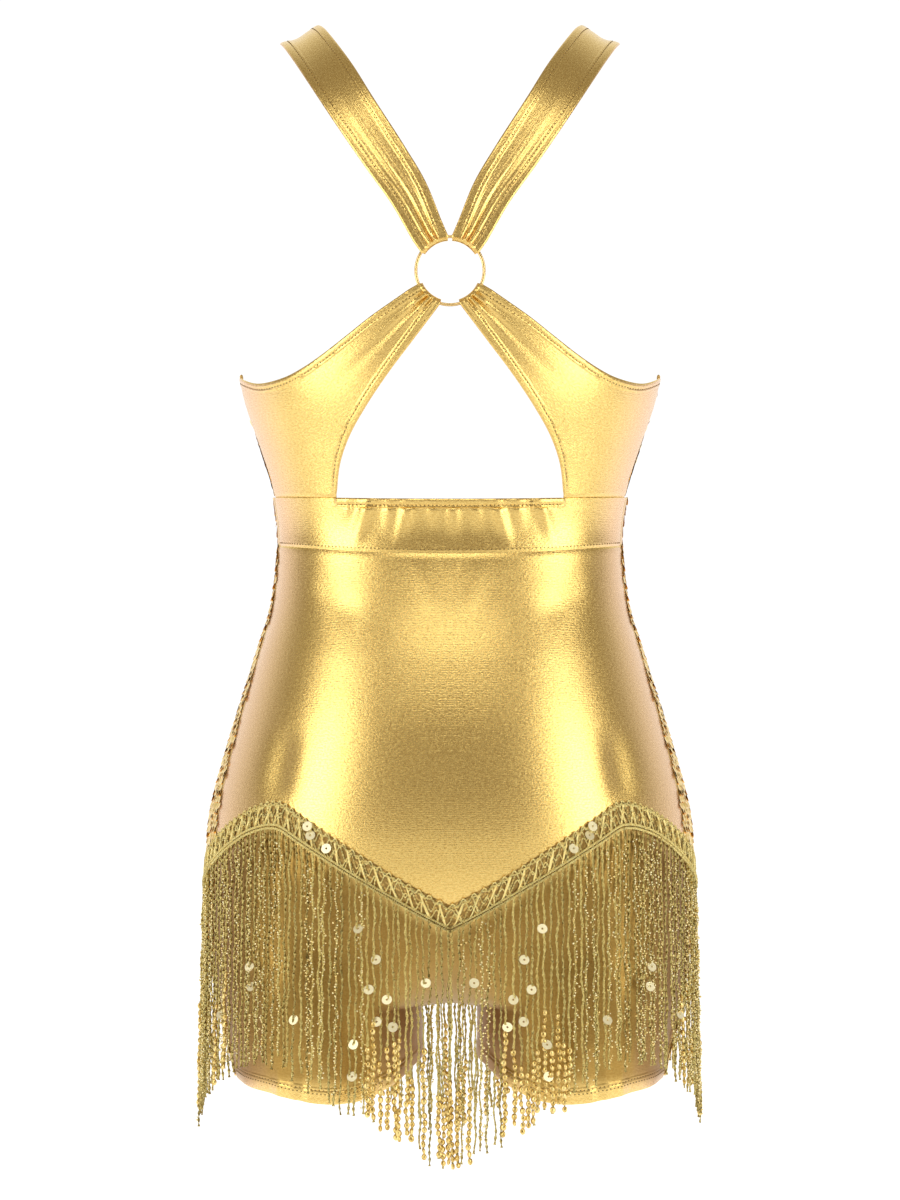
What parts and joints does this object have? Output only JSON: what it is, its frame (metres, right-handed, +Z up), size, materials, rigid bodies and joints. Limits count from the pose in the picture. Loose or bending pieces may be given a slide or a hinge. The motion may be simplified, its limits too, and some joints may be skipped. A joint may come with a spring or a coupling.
{
  "type": "sequin leotard",
  "caption": "Hollow worn leotard with short legs, crossed straps joined by rings, an open back and a zigzag braid with sequin fringe.",
  "frame": {"origin": "midway between the tops of the two shoulder straps, where the garment is carried", "axes": "+Z up, +Y towards the wearer's front, +X towards the wearer's right, which is the right of the pictured back view"},
  "size_m": [0.3426, 0.234, 0.7684],
  "materials": {
    "foil_knit": "gold foil printed stretch knit, satin metallic sheen",
    "sequin_cloth": "stretch knit covered with small gold sequins",
    "gold_wire": "polished pale gold plating",
    "braid_and_fringe": "gold thread braid with bead and sequin strands"
  },
  "bodies": {
    "root": {"back_panel": "foil_knit", "front_panel": "sequin_cloth", "waistband_back": "foil_knit", "waistband_front": "sequin_cloth", "back_wing_left": "foil_knit", "back_wing_right": "foil_knit", "front_cup_left": "sequin_cloth", "front_cup_right": "sequin_cloth", "strap_left": "foil_knit", "strap_right": "foil_knit", "back_ring": "gold_wire", "front_ring": "gold_wire", "back_fringe": "braid_and_fringe", "front_fringe": "braid_and_fringe"}
  },
  "joints": []
}
